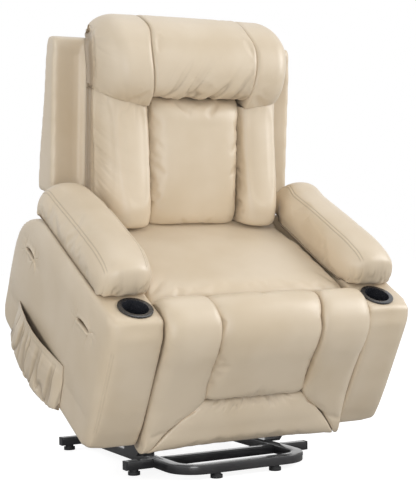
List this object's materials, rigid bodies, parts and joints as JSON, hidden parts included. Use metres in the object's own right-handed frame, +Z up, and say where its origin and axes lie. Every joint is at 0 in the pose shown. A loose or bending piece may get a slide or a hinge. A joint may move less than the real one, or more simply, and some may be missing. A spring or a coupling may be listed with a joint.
{
  "type": "lift recliner chair",
  "caption": "Padded leather power lift recliner with winged back, cup holders and side pockets, raised and tipped forward on its steel lift base.",
  "frame": {"origin": "middle of the footprint of the raised chair, on the floor", "axes": "+Z up, +Y towards the back of the chair, +X towards the left arm of the person who sits in it; the seat faces -Y"},
  "size_m": [0.9786, 0.8202, 1.294],
  "materials": {
    "leather": "soft satin, fine grain",
    "black_steel": "satin powder coat",
    "zinc_steel": "zinc plated",
    "plywood": "raw",
    "black_plastic": "matt",
    "cup_plastic": "glossy rim, matt inside",
    "button_plastic": "matt",
    "rubber": "matt"
  },
  "bodies": {
    "base": {"base_loop_rails": "black_steel", "base_front_cross": "black_steel", "base_rear_cross": "black_steel", "base_tube_caps": "black_plastic", "base_feet": "rubber", "base_lift_brackets": "black_steel", "base_pivot_pins": "zinc_steel", "base_motor_bracket": "black_steel"},
    "lift_arm": {"lift_torque_tube": "black_steel", "lift_arms": "black_steel", "lift_crank_plates": "black_steel"},
    "front_link": {"front_lift_links": "black_steel"},
    "carriage": {"right_side_plate": "black_steel", "left_side_plate": "black_steel", "carriage_cross_tubes": "black_steel", "carriage_pivot_pins": "zinc_steel", "footrest_motor_bracket": "black_steel", "seat_frame": "plywood", "seat_springs": "zinc_steel", "seat_cushion": "leather", "seat_apron": "leather", "right_arm_frame": "plywood", "left_arm_frame": "plywood", "right_arm_cover": "leather", "left_arm_cover": "leather", "right_armrest_pad": "leather", "left_armrest_pad": "leather", "right_cup_holder": "cup_plastic", "left_cup_holder": "cup_plastic", "right_pocket": "leather", "left_pocket": "leather", "control_box": "black_plastic", "handset": "black_plastic"},
    "up_button": {"up_button": "button_plastic"},
    "down_button": {"down_button": "button_plastic"},
    "footrest_drive": {"footrest_drive_tube": "black_steel", "footrest_drive_links": "black_steel"},
    "footrest_link": {"footrest_lower_links": "black_steel"},
    "footrest": {"footrest_board": "plywood", "footrest_brackets": "black_steel", "footrest_middle_pad": "leather", "footrest_right_bolster": "leather", "footrest_left_bolster": "leather", "footrest_lower_band": "leather"},
    "back": {"back_hinge_brackets": "black_steel", "back_frame": "plywood", "back_springs": "zinc_steel", "back_shell": "leather", "back_rear_panel": "leather", "headrest_middle": "leather", "headrest_right": "leather", "headrest_left": "leather", "lumbar_pad": "leather", "back_right_bolster": "leather", "back_left_bolster": "leather"},
    "lift_motor": {"lift_motor": "black_plastic", "lift_motor_tube": "black_plastic"},
    "lift_rod": {"lift_motor_rod": "zinc_steel"},
    "footrest_motor": {"footrest_motor": "black_plastic"},
    "footrest_rod": {"footrest_motor_rod": "zinc_steel"}
  },
  "joints": [
    {"name": "lift", "type": "hinge", "parent": "base", "child": "lift_arm", "pos_m": [0, 0.009, 0.131], "axis": [1, 0, 0], "range_deg": [-47.2, 0]},
    {"name": "front_link_swing", "type": "hinge", "parent": "base", "child": "front_link", "pos_m": [0, -0.051, 0.091], "axis": [1, 0, 0], "range_deg": [-61.2, 0]},
    {"name": "carriage_tilt", "type": "hinge", "parent": "lift_arm", "child": "carriage", "pos_m": [0, 0.21401, 0.47428], "axis": [1, 0, 0], "range_deg": [0, 19]},
    {"name": "footrest", "type": "hinge", "parent": "carriage", "child": "footrest_drive", "pos_m": [0, -0.03053, 0.4087], "axis": [1, 0, 0], "range_deg": [-60, 0]},
    {"name": "footrest_link_swing", "type": "hinge", "parent": "footrest_drive", "child": "footrest_link", "pos_m": [0, -0.05613, 0.19048], "axis": [1, 0, 0], "range_deg": [0, 108.5]},
    {"name": "footrest_tilt", "type": "hinge", "parent": "footrest_link", "child": "footrest", "pos_m": [0, -0.24496, 0.33868], "axis": [1, 0, 0], "range_deg": [-133.5, 0]},
    {"name": "recline", "type": "hinge", "parent": "carriage", "child": "back", "pos_m": [0, 0.21736, 0.57057], "axis": [1, 0, 0], "range_deg": [-42.1, 0]},
    {"name": "lift_motor_swing", "type": "hinge", "parent": "base", "child": "lift_motor", "pos_m": [-0.072, 0.369, 0.083], "axis": [1, 0, 0], "range_deg": [-8.3, 0]},
    {"name": "lift_motor_stroke", "type": "slide", "parent": "lift_motor", "child": "lift_rod", "axis": [0, -0.9355, 0.3535], "range_m": [-0.087, 0]},
    {"name": "footrest_motor_swing", "type": "hinge", "parent": "carriage", "child": "footrest_motor", "pos_m": [0.072, 0.26856, 0.49025], "axis": [1, 0, 0], "range_deg": [0, 1.8]},
    {"name": "footrest_motor_stroke", "type": "slide", "parent": "footrest_motor", "child": "footrest_rod", "axis": [0, -0.9099, -0.4148], "range_m": [0, 0.06]},
    {"name": "up_press", "type": "slide", "parent": "carriage", "child": "up_button", "axis": [-1, 0, 0], "range_m": [0, 0.0015], "stiffness_N_per_m": 800, "springref_m": -0.0005},
    {"name": "down_press", "type": "slide", "parent": "carriage", "child": "down_button", "axis": [-1, 0, 0], "range_m": [0, 0.0015], "stiffness_N_per_m": 800, "springref_m": -0.0005}
  ],
  "couplings": [
    {"joint": "front_link_swing", "follows": "lift", "ratio": 1.295},
    {"joint": "carriage_tilt", "follows": "lift", "ratio": -0.40044},
    {"joint": "lift_motor_swing", "follows": "lift", "ratio": 0.17253},
    {"joint": "lift_motor_stroke", "follows": "lift", "m_per_rad": 0.10492},
    {"joint": "footrest_link_swing", "follows": "footrest", "ratio": -1.8067},
    {"joint": "footrest_tilt", "follows": "footrest", "ratio": 2.2233},
    {"joint": "recline", "follows": "footrest", "ratio": 0.7},
    {"joint": "footrest_motor_swing", "follows": "footrest", "ratio": -0.028046},
    {"joint": "footrest_motor_stroke", "follows": "footrest", "m_per_rad": -0.056697}
  ]
}
